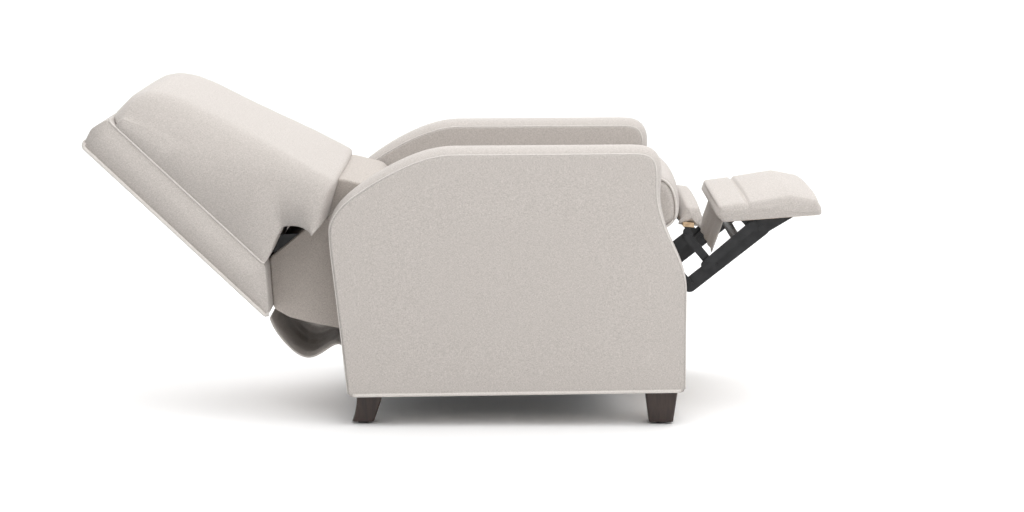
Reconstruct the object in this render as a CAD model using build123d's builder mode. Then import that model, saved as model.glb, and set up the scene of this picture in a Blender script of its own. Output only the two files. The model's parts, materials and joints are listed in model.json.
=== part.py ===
"""Recliner armchair, shown fully reclined with its footrest out.

Frame: X is the width, the chair faces -Y, Z is up, millimetres.  Side outlines are
written as (forward, height) pairs, where forward is measured towards the front (-Y)
from the middle of the chair's length and height from the floor.
"""
import os
from math import atan2, cos, degrees, hypot, radians, sin, tan

from build123d import *

# ---- widths, measured across the chair (X) ----
SEAT_OPENING = 535.0        # between the inner faces of the arms
ARM_THICKNESS = 120.0
ARM_CORE_THICKNESS = 36.0
SIDE_GAP = 5.5              # cushion or footrest to the arm
BACK_WIDTH = 744.0
BACK_CLEARANCE = 9.0        # lower back to the arm, each side
ARM_INNER = SEAT_OPENING / 2
ARM_OUTER = ARM_INNER + ARM_THICKNESS
CUSHION_HALF = ARM_INNER - SIDE_GAP
LOWER_BACK_HALF = ARM_INNER - BACK_CLEARANCE

# ---- arms and base ----
ARM_HEIGHT = 629.0
ARM_BOTTOM_FRONT = 80.0
ARM_BOTTOM_REAR = 69.0
ARM_PADDING = 16.0
BATTEN_HEIGHT = 60.0        # timber on the arm core that the base plates bolt to
BATTEN_ENDS = (-190.0, 352.0)
PLATE_BOLT_HEIGHT = 240.0
PLATE_BOLT_DEPTH = 30.0     # plate bolts into the batten
RAIL_BLOCK = 60.0           # timber on the arm core at each cross rail's end
BLOCK_COVER = 4.0           # padding left behind the rear rail block
LEG_BOLT_DEPTH = 40.0       # leg bolts into the arm core
RAIL_THICKNESS = 24.0
RAIL_HEIGHT = 50.0
FRONT_RAIL_FORWARD = 384.0
REAR_RAIL_FORWARD = -246.0
DUST_COVER_THICKNESS = 2.0

# ---- legs ----
LEG_INSET = 22.0            # leg side face from the arm's outer face
FRONT_LEG_TOP = 76.0
FRONT_LEG_FOOT = 56.0
REAR_LEG_TOP = 66.0
REAR_LEG_FOOT = 50.0
GLIDE_HEIGHT = 5.0
GLIDE_RADIUS = 13.0
BOLT_RADIUS = 5.0
BOLT_BOTTOM = 13.0
FRONT_FOOT_FORWARD = 465.0
REAR_FOOT_FORWARD = -223.0
REAR_LEG_SWEEP = 17.0

# ---- steel plates, bars and pins ----
PLATE = 4.0
BAR = 5.0
LAYER_GAP = 2.0
BAR_WIDTH = 26.0
MIDDLE_BAR_WIDTH = 20.0     # lower and mid links, which lie close together when folded
FRONT_BAR_WIDTH = 34.0
CONTROL_BAR_WIDTH = 22.0
PIN_RADIUS = 5.0
PIN_HEAD = 9.0
PIN_HEAD_HEIGHT = 1.5
PIN_CLEARANCE = 0.3
OPEN_PIVOT_CLEARANCE = 1.0  # slack at the upper end of the control link
HINGE_RADIUS = 8.0
TUBE_RADIUS = 11.0
TUBE_WALL = 2.0
SEAT_RAIL_THICKNESS = 22.0
SEAT_RAIL_GAP = 2.0         # seat rail to the base plate

BASE_PLATE_OUTER = ARM_INNER
BASE_PLATE_INNER = BASE_PLATE_OUTER - PLATE
SEAT_RAIL_OUTER = BASE_PLATE_INNER - SEAT_RAIL_GAP
SEAT_RAIL_INNER = SEAT_RAIL_OUTER - SEAT_RAIL_THICKNESS
SEAT_PLATE_INNER = SEAT_RAIL_INNER - BAR
MIDDLE_LAYER = SEAT_PLATE_INNER - LAYER_GAP - BAR      # lower, mid links, brackets
INNER_LAYER = MIDDLE_LAYER - LAYER_GAP - BAR           # upper and front links
OUTER_LAYER = SEAT_PLATE_INNER                         # control links

# ---- pivots, as (forward, height) with the footrest out ----
HINGE = (-196.0, 417.0)     # back and seat turn on this line
LOWER_PIVOT = (386.0, 404.0)
UPPER_PIVOT = (476.6, 374.8)
ELBOW_PIVOT = (536.0, 304.0)
MID_PIVOT = (531.0, 418.0)
FRONT_BAR_LENGTH = 215.0
FRONT_BAR_ANGLE = 38.5
CONTROL_REAR = 19.0         # control link pivot to the mid link's lower pivot
CONTROL_FRONT = 25.0        # control link pivot to the footrest pivot
CROSS_PIVOT = (MID_PIVOT[0] + ELBOW_PIVOT[0] - UPPER_PIVOT[0],
               MID_PIVOT[1] + ELBOW_PIVOT[1] - UPPER_PIVOT[1])

# ---- seat ----
SEAT_SLOPE = 12.0           # degrees, front up
SEAT_FRONT = 480.0
SEAT_FRONT_HEIGHT = 441.0   # underside of the cushion at its front
SEAT_REAR = -154.0
CUSHION_THICKNESS = 116.0
SEAT_RAIL_HEIGHT = 50.0
SEAT_RAIL_REAR = -168.0
SPRING_COUNT = 5
SPRING_WIRE = 4.0
SEAT_TILT_TRAVEL = 5.0      # degrees, the slot that the rollers run in
ROLLER_FORWARD = 271.0
ROLLER_RADIUS = 9.0

# ---- back, from the lower rear corner up along its rear face ----
BACK_CORNER = (-437.0, 251.0)
BACK_SLOPE = 43.4           # degrees above the floor when reclined
BACK_LENGTH = 573.0
BOXING_DEPTH = 85.0
PANEL_THICKNESS = 4.0
BOXING_WALL = 18.0
BACK_FRAME_BAR = 48.0

# ---- footrests ----
FOOTREST_BOARD = 15.0
FOOTREST_HALF = CUSHION_HALF
MID_FOOTREST_HALF = INNER_LAYER - 3.0


def side_plane(x):
    """Upright plane at x whose first axis points forward and second up."""
    return Plane(origin=(x, 0, 0), x_dir=(0, -1, 0), z_dir=(-1, 0, 0))


def along(start, length, angle):
    """The point at length and angle (degrees, front up) from start."""
    return (start[0] + length * cos(radians(angle)), start[1] + length * sin(radians(angle)))


def seat_line(forward):
    """Height of the cushion's underside."""
    return SEAT_FRONT_HEIGHT - (SEAT_FRONT - forward) * tan(radians(SEAT_SLOPE))


def on_back(up, depth):
    """Point on the back: up along its rear face and depth in from it."""
    slope = radians(BACK_SLOPE)
    return (BACK_CORNER[0] - up * cos(slope) + depth * sin(slope),
            BACK_CORNER[1] + up * sin(slope) + depth * cos(slope))


FOOT_PIVOT = along(ELBOW_PIVOT, FRONT_BAR_LENGTH, FRONT_BAR_ANGLE)
CONTROL_REAR_PIVOT = along(CROSS_PIVOT, CONTROL_REAR, 162)
CONTROL_FRONT_PIVOT = along(FOOT_PIVOT, CONTROL_FRONT, 160)


def polygon(points):
    """A closed face through points, in the current sketch."""
    with BuildLine() as outline:
        Polyline(*points, close=True)
    make_face(outline.edges())


def soft_outline(points, round_off):
    """A closed face through points with its corners rounded."""
    with BuildLine() as outline:
        FilletPolyline(*points, radius=round_off, close=True)
    make_face(outline.edges())


def discs(centres, radius, mode=Mode.ADD):
    """Equal circles in the current sketch."""
    with Locations(*centres):
        Circle(radius, mode=mode)


def slot(start, end, width, mode=Mode.ADD):
    """A round-ended bar from start to end in the current sketch."""
    span = (end[0] - start[0], end[1] - start[1])
    with Locations(((start[0] + end[0]) / 2, (start[1] + end[1]) / 2)):
        SlotCenterToCenter(hypot(*span), width, rotation=degrees(atan2(span[1], span[0])), mode=mode)


def across(inner, outer, mode=Mode.ADD, profile=None):
    """Extrude a sketch made on side_plane(inner) out to outer."""
    extrude(profile, amount=inner - outer, mode=mode)


def pins(centres, inner, outer, radius=PIN_RADIUS, head=PIN_HEAD):
    """Headed pins on the right side, then the same on the left."""
    with BuildSketch(side_plane(inner)) as shank:
        discs(centres, radius)
    across(inner, outer, profile=shank.sketch)
    for start, end in ((inner - PIN_HEAD_HEIGHT, inner), (outer, outer + PIN_HEAD_HEIGHT)):
        with BuildSketch(side_plane(start)) as cap:
            discs(centres, head)
        across(start, end, profile=cap.sketch)
    mirror(about=Plane.YZ)


def link_pair(inner, segments, width, holes, tight_holes=()):
    """Flat steel links, one on each side."""
    with BuildSketch(side_plane(inner)) as profile:
        for start, end in segments:
            slot(start, end, width)
        discs(holes, PIN_RADIUS + PIN_CLEARANCE, Mode.SUBTRACT)
        if tight_holes:
            discs(tight_holes, PIN_RADIUS, Mode.SUBTRACT)
    across(inner, inner + BAR, profile=profile.sketch)
    mirror(about=Plane.YZ)


def cross_tube(centre, half_length):
    """A round tube across the chair."""
    with BuildSketch(side_plane(-half_length)) as ring:
        with Locations(centre):
            Circle(TUBE_RADIUS)
            Circle(TUBE_RADIUS - TUBE_WALL, mode=Mode.SUBTRACT)
    across(-half_length, half_length, profile=ring.sketch)


def save(builder, name):
    """Label a finished piece and write its file."""
    builder.part.label = name
    export_step(builder.part, f"parts/{name}.step")


# ---------------------------------------------------------------- arms
def arm_bottom(forward):
    """Height of an arm's bottom edge, which rises a little towards the front."""
    return ARM_BOTTOM_REAR + (ARM_BOTTOM_FRONT - ARM_BOTTOM_REAR) * (forward + 254) / 771


def arm_outline(inset):
    """Side view of an arm, drawn in by inset except along its bottom edge."""
    top = ARM_HEIGHT - inset
    rear = -300.0 + inset
    front = 517.0 - inset
    with BuildLine() as outline:
        l1 = Line((front, arm_bottom(front)), (front, ARM_HEIGHT - 319))
        l2 = Spline(l1 @ 1, (front - 27, ARM_HEIGHT - 220), (front - 49, ARM_HEIGHT - 171),
                    (front - 67, ARM_HEIGHT - 110), (front - 69, ARM_HEIGHT - 50),
                    tangents=((0, 1), (0, 1)))
        l3 = Spline(l2 @ 1, (front - 78, top - 10), (front - 123, top),
                    tangents=((0, 1), (-1, 0)))
        l4 = Line(l3 @ 1, (-20, top - 3))
        l5 = Spline(l4 @ 1, (-116, top - 28), (-238, top - 98), (rear + 6, top - 170),
                    tangents=((-1, -0.06), (-0.3, -1)))
        l6 = Spline(l5 @ 1, (rear + 12, top - 250), (rear + 46, arm_bottom(rear + 46)),
                    tangents=((0, -1), (0.1, -1)))
        Line(l6 @ 1, l1 @ 0)
    make_face(outline.edges())


def plate_bolt_places():
    """Bolts of the base plates, along the batten."""
    return [(forward, PLATE_BOLT_HEIGHT) for forward in (-150.0, 60.0, 320.0)]


def leg_bolt_places(side):
    """Bolts of one side's legs, as (x, y)."""
    centre_x = ARM_OUTER - LEG_INSET - FRONT_LEG_TOP / 2
    forwards = (FRONT_FOOT_FORWARD, REAR_FOOT_FORWARD + REAR_LEG_SWEEP)
    return [(side * centre_x, -forward) for forward in forwards]


def arm_timber():
    """Outline of the batten and rail blocks, between the arm core and the arm's inner face."""
    with BuildSketch() as limit:
        arm_outline(BLOCK_COVER)
    with BuildSketch() as timber:
        with Locations((sum(BATTEN_ENDS) / 2, PLATE_BOLT_HEIGHT)):
            Rectangle(BATTEN_ENDS[1] - BATTEN_ENDS[0], BATTEN_HEIGHT)
        for forward in (FRONT_RAIL_FORWARD, REAR_RAIL_FORWARD):
            with Locations((forward, ARM_BOTTOM_FRONT + RAIL_HEIGHT / 2)):
                Rectangle(RAIL_BLOCK, RAIL_HEIGHT)
        add(limit.sketch, mode=Mode.INTERSECT)
    return timber.sketch


def build_arms():
    """Timber arm core with its batten and blocks, and the padding round it, each side."""
    core_inner = ARM_INNER + (ARM_THICKNESS - ARM_CORE_THICKNESS) / 2
    for name, side in (("right", -1), ("left", 1)):
        with BuildPart() as core:
            with BuildSketch(side_plane(side * core_inner)):
                arm_outline(ARM_PADDING)
            extrude(amount=-side * ARM_CORE_THICKNESS)
            with BuildSketch(side_plane(side * ARM_INNER)):
                add(arm_timber())
            extrude(amount=-side * (core_inner - ARM_INNER))
            with BuildSketch(side_plane(side * ARM_INNER)):
                discs(plate_bolt_places(), PIN_RADIUS)
            extrude(amount=-side * PLATE_BOLT_DEPTH, mode=Mode.SUBTRACT)
            with BuildSketch(Plane.XY):
                discs(leg_bolt_places(side), BOLT_RADIUS)
            extrude(amount=ARM_BOTTOM_FRONT + LEG_BOLT_DEPTH, mode=Mode.SUBTRACT)
        save(core, f"arm_frame_{name}")
        with BuildPart() as padding:
            with BuildSketch(side_plane(side * ARM_INNER)):
                arm_outline(0)
            extrude(amount=-side * ARM_THICKNESS)
            add(core.part, mode=Mode.SUBTRACT)
            with BuildSketch(side_plane(side * ARM_INNER)):
                discs(plate_bolt_places(), PIN_RADIUS)
            extrude(amount=-side * PLATE_BOLT_DEPTH, mode=Mode.SUBTRACT)
            with BuildSketch(Plane.XY):
                discs(leg_bolt_places(side), BOLT_RADIUS)
            extrude(amount=ARM_BOTTOM_FRONT + LEG_BOLT_DEPTH, mode=Mode.SUBTRACT)
        save(padding, f"arm_padding_{name}")


# ---------------------------------------------------------------- base
def build_base_rails():
    """Cross rails between the arms and the dust cover under them."""
    for name, forward in (("front_rail", FRONT_RAIL_FORWARD), ("rear_rail", REAR_RAIL_FORWARD)):
        with BuildPart() as rail:
            with BuildSketch(side_plane(-ARM_INNER)):
                with Locations((forward, ARM_BOTTOM_FRONT + RAIL_HEIGHT / 2)):
                    Rectangle(RAIL_THICKNESS, RAIL_HEIGHT)
            across(-ARM_INNER, ARM_INNER)
        save(rail, name)
    span = FRONT_RAIL_FORWARD - REAR_RAIL_FORWARD + RAIL_THICKNESS
    middle = (FRONT_RAIL_FORWARD + REAR_RAIL_FORWARD) / 2
    with BuildPart() as cover:
        with BuildSketch(side_plane(-ARM_INNER)):
            with Locations((middle, ARM_BOTTOM_FRONT - DUST_COVER_THICKNESS / 2)):
                Rectangle(span, DUST_COVER_THICKNESS)
        across(-ARM_INNER, ARM_INNER)
    save(cover, "dust_cover")


def leg_sections(centre_x, foot, top_size, foot_size, lean):
    """Level sections of a leg, from its foot up into the arm, swept forward by lean."""
    top = ARM_BOTTOM_FRONT + 3
    levels = [(GLIDE_HEIGHT, 0.0, foot_size), (top, lean, top_size)]
    if lean:
        levels.insert(1, ((GLIDE_HEIGHT + top) / 2, lean * 0.7, (top_size + foot_size) / 2 - 4))
    for height, shift, size in levels:
        with BuildSketch(Plane.XY.offset(height)) as section:
            with Locations((centre_x, -foot - shift)):
                RectangleRounded(size, size, 6)
        yield section.sketch


def build_legs():
    """Tapered front legs, swept rear legs, their bolts and glides."""
    centre_x = ARM_OUTER - LEG_INSET - FRONT_LEG_TOP / 2
    foot_places = []
    for end, foot, top_size, foot_size, lean in (
            ("front", FRONT_FOOT_FORWARD, FRONT_LEG_TOP, FRONT_LEG_FOOT, 0.0),
            ("rear", REAR_FOOT_FORWARD, REAR_LEG_TOP, REAR_LEG_FOOT, REAR_LEG_SWEEP)):
        for name, side in (("right", -1), ("left", 1)):
            foot_places.append((side * centre_x, -foot))
            with BuildPart() as leg:
                for section in leg_sections(side * centre_x, foot, top_size, foot_size, lean):
                    add(section)
                loft()
                with BuildSketch(side_plane(side * ARM_INNER)):
                    arm_outline(0)
                extrude(amount=-side * ARM_THICKNESS, mode=Mode.SUBTRACT)
                with BuildSketch(Plane.XY.offset(BOLT_BOTTOM)):
                    discs(leg_bolt_places(side), BOLT_RADIUS)
                extrude(amount=ARM_BOTTOM_FRONT, mode=Mode.SUBTRACT)
            save(leg, f"{end}_leg_{name}")
    with BuildPart() as glides:
        with BuildSketch(Plane.XY):
            discs(foot_places, GLIDE_RADIUS)
        extrude(amount=GLIDE_HEIGHT)
    save(glides, "leg_glides")
    with BuildPart() as bolts:
        with BuildSketch(Plane.XY.offset(BOLT_BOTTOM)):
            discs(leg_bolt_places(-1) + leg_bolt_places(1), BOLT_RADIUS)
        extrude(amount=ARM_BOTTOM_FRONT + LEG_BOLT_DEPTH - BOLT_BOTTOM)
    save(bolts, "leg_bolts")


def roller_centre():
    """Centre of the seat's lift rollers when the chair is reclined."""
    return (ROLLER_FORWARD, seat_line(ROLLER_FORWARD) - SEAT_RAIL_HEIGHT / 2 - 2)


def build_base_plates():
    """Steel side plates with the arc slots for the seat rollers, and what holds them."""
    radius = hypot(ROLLER_FORWARD - HINGE[0], roller_centre()[1] - HINGE[1])
    start = degrees(atan2(roller_centre()[1] - HINGE[1], ROLLER_FORWARD - HINGE[0]))
    width = 2 * ROLLER_RADIUS + 2
    low = along(HINGE, radius, start - SEAT_TILT_TRAVEL)
    bolt_places = plate_bolt_places()
    with BuildPart() as plates:
        with BuildSketch(side_plane(BASE_PLATE_INNER)):
            polygon([(-222, 200), (340, 200), (340, 396), (215, 396), (150, 290),
                     (-140, 290), (-174, 440), (-222, 440)])
            with BuildLine() as outline:
                arc_mid = along(HINGE, radius, start - SEAT_TILT_TRAVEL / 2)
                ThreePointArc(roller_centre(), arc_mid, low)
            trace(outline.edges(), line_width=width, mode=Mode.SUBTRACT)
            discs([roller_centre(), low], width / 2, Mode.SUBTRACT)
            discs([HINGE], HINGE_RADIUS, Mode.SUBTRACT)
            discs(bolt_places, PIN_RADIUS, Mode.SUBTRACT)
        across(BASE_PLATE_INNER, BASE_PLATE_OUTER)
        mirror(about=Plane.YZ)
    save(plates, "base_plates")
    with BuildPart() as plate_bolts:
        with BuildSketch(side_plane(BASE_PLATE_INNER)):
            discs(bolt_places, PIN_RADIUS)
        across(BASE_PLATE_INNER, BASE_PLATE_OUTER + PLATE_BOLT_DEPTH)
        with BuildSketch(side_plane(BASE_PLATE_INNER - PIN_HEAD_HEIGHT)):
            discs(bolt_places, PIN_HEAD)
        across(BASE_PLATE_INNER - PIN_HEAD_HEIGHT, BASE_PLATE_INNER)
        mirror(about=Plane.YZ)
    save(plate_bolts, "base_plate_bolts")
    with BuildPart() as tube:
        cross_tube((-90.0, 226.0), BASE_PLATE_INNER)
    save(tube, "base_cross_tube")
    with BuildPart() as pivots:
        with BuildSketch(side_plane(SEAT_PLATE_INNER - LAYER_GAP)):
            discs([HINGE], HINGE_RADIUS)
        across(SEAT_PLATE_INNER - LAYER_GAP, BASE_PLATE_OUTER)
        with BuildSketch(side_plane(SEAT_PLATE_INNER - LAYER_GAP - PIN_HEAD_HEIGHT)):
            discs([HINGE], HINGE_RADIUS + 4)
        across(SEAT_PLATE_INNER - LAYER_GAP - PIN_HEAD_HEIGHT, SEAT_PLATE_INNER - LAYER_GAP)
        mirror(about=Plane.YZ)
    save(pivots, "recline_pivots")


def build_rear_flap():
    """Cloth sling from the foot of the back to the rear rail."""
    rail_face = REAR_RAIL_FORWARD - RAIL_THICKNESS / 2 - 3
    with BuildPart() as flap:
        with BuildSketch(side_plane(-LOWER_BACK_HALF)):
            with BuildLine() as outline:
                Spline((BACK_CORNER[0] - 5, BACK_CORNER[1] - 19), (-400, 166), (-352, 140),
                       (rail_face - 32, 170), (rail_face, 106))
            trace(outline.edges(), line_width=4)
        across(-LOWER_BACK_HALF, LOWER_BACK_HALF)
    save(flap, "rear_flap")


# ---------------------------------------------------------------- seat
def seat_band(rear, front, top_gap, height):
    """Sloping band under the cushion, top_gap below its underside."""
    polygon([(rear, seat_line(rear) - top_gap), (front, seat_line(front) - top_gap),
             (front, seat_line(front) - top_gap - height),
             (rear, seat_line(rear) - top_gap - height)])


def build_seat_frame():
    """Sloping wooden rails, steel side plates, rollers and screws."""
    front = SEAT_FRONT - 8
    for name, side in (("right", -1), ("left", 1)):
        with BuildPart() as rail:
            with BuildSketch(side_plane(side * SEAT_RAIL_INNER)):
                seat_band(SEAT_RAIL_REAR, front, 2, SEAT_RAIL_HEIGHT)
                discs([roller_centre()], PIN_RADIUS, Mode.SUBTRACT)
            extrude(amount=-side * SEAT_RAIL_THICKNESS)
        save(rail, f"seat_side_rail_{name}")
    for name, rear in (("seat_front_rail", front - SEAT_RAIL_THICKNESS),
                       ("seat_rear_rail", SEAT_RAIL_REAR)):
        half = SEAT_RAIL_INNER if name == "seat_front_rail" else SEAT_PLATE_INNER
        with BuildPart() as rail:
            with BuildSketch(side_plane(-half)):
                seat_band(rear, rear + SEAT_RAIL_THICKNESS, 8, SEAT_RAIL_HEIGHT - 24)
            across(-half, half)
        save(rail, name)
    screws = [(f, seat_line(f) - 38) for f in (-60, 110)]
    with BuildPart() as plates:
        with BuildSketch(side_plane(SEAT_PLATE_INNER)):
            seat_band(SEAT_RAIL_REAR, LOWER_PIVOT[0] + 22, 3, SEAT_RAIL_HEIGHT - 2)
            polygon([(HINGE[0] - 20, HINGE[1] + 10), (HINGE[0] - 10, HINGE[1] + 20),
                     (HINGE[0] + 10, HINGE[1] + 20), (HINGE[0] + 20, HINGE[1] + 10),
                     (SEAT_RAIL_REAR + 10, seat_line(SEAT_RAIL_REAR) - 3),
                     (SEAT_RAIL_REAR + 10, seat_line(SEAT_RAIL_REAR) - SEAT_RAIL_HEIGHT),
                     (HINGE[0] - 10, seat_line(SEAT_RAIL_REAR) - SEAT_RAIL_HEIGHT)])
            discs([HINGE], HINGE_RADIUS + PIN_CLEARANCE, Mode.SUBTRACT)
            discs([LOWER_PIVOT], PIN_RADIUS, Mode.SUBTRACT)
            discs(screws, PIN_RADIUS, Mode.SUBTRACT)
        across(SEAT_PLATE_INNER, SEAT_RAIL_INNER)
        mirror(about=Plane.YZ)
    save(plates, "seat_plates")
    with BuildPart() as plate_screws:
        with BuildSketch(side_plane(SEAT_PLATE_INNER)):
            discs(screws, PIN_RADIUS)
        across(SEAT_PLATE_INNER, SEAT_RAIL_INNER)
        with BuildSketch(side_plane(SEAT_PLATE_INNER - PIN_HEAD_HEIGHT)):
            discs(screws, PIN_HEAD)
        across(SEAT_PLATE_INNER - PIN_HEAD_HEIGHT, SEAT_PLATE_INNER)
        mirror(about=Plane.YZ)
    save(plate_screws, "seat_plate_screws")
    with BuildPart() as rollers:
        with BuildSketch(side_plane(SEAT_RAIL_INNER)):
            discs([roller_centre()], PIN_RADIUS)
        across(SEAT_RAIL_INNER, SEAT_RAIL_OUTER)
        with BuildSketch(side_plane(SEAT_RAIL_OUTER)):
            discs([roller_centre()], ROLLER_RADIUS)
        across(SEAT_RAIL_OUTER, BASE_PLATE_OUTER - 0.5)
        mirror(about=Plane.YZ)
    save(rollers, "lift_rollers")
    with BuildPart() as rivets:
        with BuildSketch(side_plane(MIDDLE_LAYER)):
            discs([LOWER_PIVOT], PIN_RADIUS)
        across(MIDDLE_LAYER, SEAT_RAIL_INNER)
        with BuildSketch(side_plane(MIDDLE_LAYER - PIN_HEAD_HEIGHT)):
            discs([LOWER_PIVOT], PIN_HEAD)
        across(MIDDLE_LAYER - PIN_HEAD_HEIGHT, MIDDLE_LAYER)
        mirror(about=Plane.YZ)
    save(rivets, "lower_pivot_rivets")


def spring_plane():
    """Plane of the springs, just under the cushion; its first axis runs forward."""
    slope = radians(SEAT_SLOPE)
    rear = SEAT_RAIL_REAR + SEAT_RAIL_THICKNESS / 2
    return Plane(origin=(0, -rear, seat_line(rear) - 7), x_dir=(0, -cos(slope), sin(slope)),
                 z_dir=(0, sin(slope), cos(slope)))


def build_seat_springs():
    """Zigzag springs from the rear rail to the front rail, and their clips."""
    span = (SEAT_FRONT - 8 - SEAT_RAIL_THICKNESS - SEAT_RAIL_REAR) / cos(radians(SEAT_SLOPE))
    pitch = 26.0
    swing = 20.0
    spacing = 2 * (SEAT_PLATE_INNER - 20) / SPRING_COUNT
    places = [(i - (SPRING_COUNT - 1) / 2) * spacing for i in range(SPRING_COUNT)]
    turns = int((span - 2 * pitch) // pitch)
    with BuildPart() as springs:
        for place in places:
            points = [(0, place), (pitch / 2, place)]
            for turn in range(turns):
                side = swing if turn % 2 else -swing
                points.append((pitch * (turn + 0.75), place + side))
                points.append((pitch * (turn + 1.25), place + side))
            points += [(pitch * (turns + 0.5), place), (span, place)]
            with BuildSketch(spring_plane()):
                with BuildLine() as outline:
                    FilletPolyline(*points, radius=5)
                trace(outline.edges(), line_width=SPRING_WIRE)
            extrude(amount=SPRING_WIRE)
    save(springs, "seat_springs")
    with BuildPart() as clips:
        with BuildSketch(spring_plane().offset(SPRING_WIRE)):
            for place in places:
                with Locations((3, place), (span - 3, place)):
                    Rectangle(14, 16)
        extrude(amount=2)
    save(clips, "spring_clips")


def build_seat_cushion():
    """Thick seat cushion with a rounded front edge."""
    lift = (-sin(radians(SEAT_SLOPE)), cos(radians(SEAT_SLOPE)))
    front_top = (SEAT_FRONT - 8 + lift[0] * CUSHION_THICKNESS,
                 SEAT_FRONT_HEIGHT + lift[1] * CUSHION_THICKNESS + 14)
    rear_low = (SEAT_REAR, seat_line(SEAT_REAR))
    rear_top = (SEAT_REAR + 6, rear_low[1] + CUSHION_THICKNESS)
    with BuildPart() as cushion:
        with BuildSketch(side_plane(-CUSHION_HALF)):
            with BuildLine() as outline:
                l1 = Line(rear_low, (SEAT_FRONT, SEAT_FRONT_HEIGHT))
                l2 = Line(l1 @ 1, (SEAT_FRONT + 22, SEAT_FRONT_HEIGHT + 20))
                l3 = Spline(l2 @ 1, (SEAT_FRONT + 25, SEAT_FRONT_HEIGHT + 50),
                            (SEAT_FRONT + 12, SEAT_FRONT_HEIGHT + 100), front_top,
                            tangents=((0.3, 1), (-1, 0.3)))
                l4 = Spline(l3 @ 1, (180, seat_line(180) + CUSHION_THICKNESS + 22), rear_top,
                            tangents=((-1, 0), (-1, -0.4)))
                Line(l4 @ 1, rear_low)
            make_face(outline.edges())
        across(-CUSHION_HALF, CUSHION_HALF)
    save(cushion, "seat_cushion")


# ---------------------------------------------------------------- back
def wing_outline():
    """Side view of the full-width front pad, with the arch that clears the arm."""
    polygon([on_back(88, BOXING_DEPTH), (-425, 408), (-411, 442), (-397, 463), (-384, 471),
             (-350, 475), (-320, 468), (-306, 462), (-304, 484), (-282, 560), (-384, 614),
             (-502, 672), (-620, 732), (-667, 751), (-709, 758), (-750, 752),
             on_back(BACK_LENGTH, BOXING_DEPTH + 20), on_back(BACK_LENGTH, BOXING_DEPTH)])


def boxing_outline(wall):
    """Side view of the band round the rear of the back, drawn in by wall."""
    polygon([on_back(wall * 1.6, PANEL_THICKNESS),
             on_back(BACK_LENGTH - wall, PANEL_THICKNESS),
             on_back(BACK_LENGTH + (12 if wall == 0 else -wall), 45),
             on_back(BACK_LENGTH - wall, BOXING_DEPTH),
             on_back(88 + wall * 0.6, BOXING_DEPTH)])


def bracket_outline():
    """Side view of the steel bracket from the hinge to the back frame."""
    polygon([(HINGE[0] - 6, HINGE[1] - 20), (HINGE[0] + 12, HINGE[1] - 16),
             (HINGE[0] + 20, HINGE[1]), (HINGE[0] + 10, HINGE[1] + 18),
             (HINGE[0] - 14, HINGE[1] + 20), on_back(160, BOXING_DEPTH), on_back(104, BOXING_DEPTH)])


def build_back_frame():
    """Back panel, boxing band, frame, webbing, brackets and bolts."""
    half = BACK_WIDTH / 2
    frame_half = half - BOXING_WALL - 2
    bracket_inner = SEAT_RAIL_INNER + 6
    with BuildPart() as panel:
        with BuildSketch(side_plane(-half)):
            polygon([on_back(0, 0), on_back(BACK_LENGTH, 0),
                     on_back(BACK_LENGTH, PANEL_THICKNESS), on_back(0, PANEL_THICKNESS)])
        across(-half, half)
    save(panel, "back_panel")
    with BuildPart() as boxing:
        with BuildSketch(side_plane(-half)):
            boxing_outline(0)
        across(-half, half)
        with BuildSketch(side_plane(BOXING_WALL - half)):
            boxing_outline(BOXING_WALL)
        across(BOXING_WALL - half, half - BOXING_WALL, Mode.SUBTRACT)
    save(boxing, "back_boxing")
    low, high = 100.0, BACK_LENGTH - BOXING_WALL - 2
    depths = (PANEL_THICKNESS + 1, BOXING_DEPTH - 6)
    with BuildPart() as frame:
        with BuildSketch(side_plane(-frame_half)):
            polygon([on_back(low, depths[0]), on_back(high, depths[0]),
                     on_back(high, depths[1]), on_back(low, depths[1])])
        across(-frame_half, frame_half)
        with BuildSketch(side_plane(BACK_FRAME_BAR - frame_half)):
            polygon([on_back(low + BACK_FRAME_BAR + 20, 0), on_back(high - BACK_FRAME_BAR, 0),
                     on_back(high - BACK_FRAME_BAR, BOXING_DEPTH),
                     on_back(low + BACK_FRAME_BAR + 20, BOXING_DEPTH)])
        across(BACK_FRAME_BAR - frame_half, frame_half - BACK_FRAME_BAR, Mode.SUBTRACT)
    save(frame, "back_frame")
    with BuildPart() as webbing:
        with BuildSketch(side_plane(0)):
            polygon([on_back(low + 70, depths[1]), on_back(high, depths[1]),
                     on_back(high, depths[1] + 3), on_back(low + 70, depths[1] + 3)])
        extrude(amount=frame_half - 10, both=True)
        for place in range(-2, 4):
            with BuildSketch(side_plane((place - 0.5) * 120 + 20)):
                polygon([on_back(low + 82, depths[1] - 1), on_back(high - 20, depths[1] - 1),
                         on_back(high - 20, BOXING_DEPTH), on_back(low + 82, BOXING_DEPTH)])
            extrude(amount=40, mode=Mode.SUBTRACT)
    save(webbing, "back_webbing")
    with BuildPart() as brackets:
        with BuildSketch(side_plane(bracket_inner)):
            bracket_outline()
            discs([HINGE], HINGE_RADIUS + PIN_CLEARANCE, Mode.SUBTRACT)
        across(bracket_inner, bracket_inner + BAR)
        with BuildSketch(side_plane(bracket_inner - 30)):
            polygon([on_back(104, depths[1]), on_back(160, depths[1]),
                     on_back(160, BOXING_DEPTH), on_back(104, BOXING_DEPTH)])
        across(bracket_inner - 30, bracket_inner + BAR)
        mirror(about=Plane.YZ)
    save(brackets, "back_brackets")
    return bracket_inner, brackets


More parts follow.
